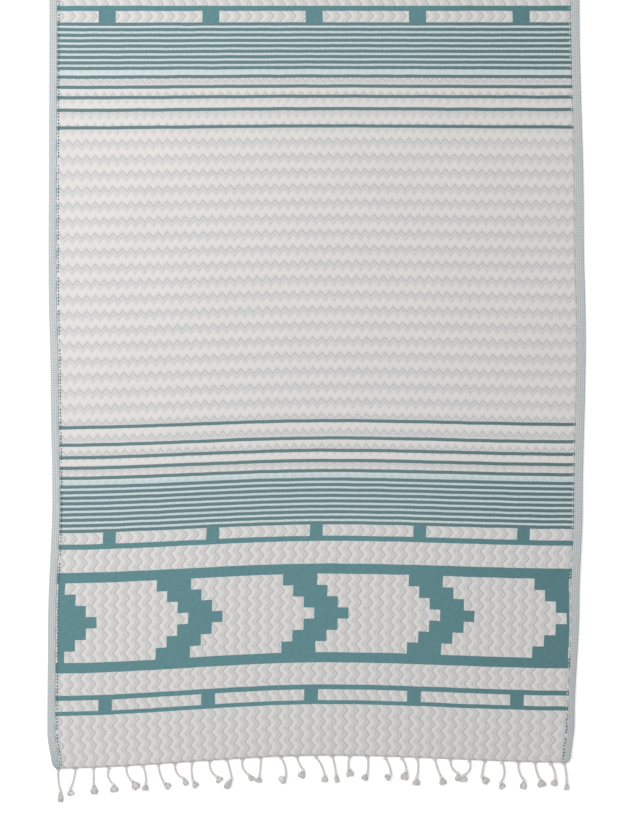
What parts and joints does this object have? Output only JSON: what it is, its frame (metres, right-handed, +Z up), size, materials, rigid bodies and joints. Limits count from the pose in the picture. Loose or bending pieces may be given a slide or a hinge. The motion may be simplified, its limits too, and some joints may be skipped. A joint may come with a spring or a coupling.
{
  "type": "fringed flat-woven bath towel",
  "caption": "Large flat-woven bath towel with banded geometric pattern, stitched side hems and knotted tassel fringe at both ends, laid out flat and able to fold in half.",
  "frame": {"origin": "the middle of the laid-out towel, on the surface that it lies on", "axes": "+X across the towel from the left to the right selvage as seen from above with the far end up, +Y along the towel from the near to the far fringe, +Z up out of the patterned face"},
  "size_m": [0.9999, 1.9437, 0.0075],
  "materials": {
    "woven_cloth": "matte double-woven cotton in off-white and dusty teal",
    "hem_band": "matte plain weave, pale blue-grey",
    "seam_thread": "matte dark teal sewing thread",
    "fringe_yarn": "matte twisted cotton cord, brushed out below each knot"
  },
  "bodies": {
    "near_half": {"near_left_hem": "hem_band", "near_left_seam": "seam_thread", "near_panel": "woven_cloth", "near_right_hem": "hem_band", "near_right_seam": "seam_thread", "near_tassel_01": "fringe_yarn", "near_tassel_02": "fringe_yarn", "near_tassel_03": "fringe_yarn", "near_tassel_04": "fringe_yarn", "near_tassel_05": "fringe_yarn", "near_tassel_06": "fringe_yarn", "near_tassel_07": "fringe_yarn", "near_tassel_08": "fringe_yarn", "near_tassel_09": "fringe_yarn", "near_tassel_10": "fringe_yarn", "near_tassel_11": "fringe_yarn", "near_tassel_12": "fringe_yarn", "near_tassel_13": "fringe_yarn", "near_tassel_14": "fringe_yarn", "near_tassel_15": "fringe_yarn", "near_tassel_16": "fringe_yarn", "near_tassel_17": "fringe_yarn", "near_tassel_18": "fringe_yarn", "near_tassel_19": "fringe_yarn", "near_tassel_20": "fringe_yarn", "near_tassel_21": "fringe_yarn", "near_tassel_22": "fringe_yarn", "near_tassel_23": "fringe_yarn", "near_tassel_24": "fringe_yarn", "near_tassel_25": "fringe_yarn", "near_tassel_26": "fringe_yarn", "near_tassel_27": "fringe_yarn", "near_tassel_28": "fringe_yarn", "near_tassel_29": "fringe_yarn", "near_tassel_30": "fringe_yarn", "near_tassel_31": "fringe_yarn"},
    "far_half": {"far_left_hem": "hem_band", "far_left_seam": "seam_thread", "far_panel": "woven_cloth", "far_right_hem": "hem_band", "far_right_seam": "seam_thread", "far_tassel_31": "fringe_yarn", "far_tassels_01_02": "fringe_yarn", "far_tassels_03_04": "fringe_yarn", "far_tassels_05_06": "fringe_yarn", "far_tassels_07_08": "fringe_yarn", "far_tassels_09_10": "fringe_yarn", "far_tassels_11_12": "fringe_yarn", "far_tassels_13_14": "fringe_yarn", "far_tassels_15_16": "fringe_yarn", "far_tassels_17_18": "fringe_yarn", "far_tassels_19_20": "fringe_yarn", "far_tassels_21_22": "fringe_yarn", "far_tassels_23_24": "fringe_yarn", "far_tassels_25_26": "fringe_yarn", "far_tassels_27_28": "fringe_yarn", "far_tassels_29_30": "fringe_yarn"}
  },
  "joints": [
    {"name": "fold_in_half", "type": "hinge", "parent": "near_half", "child": "far_half", "pos_m": [0, 0, 0.008], "axis": [1, 0, 0], "range_deg": [0, 180]}
  ]
}
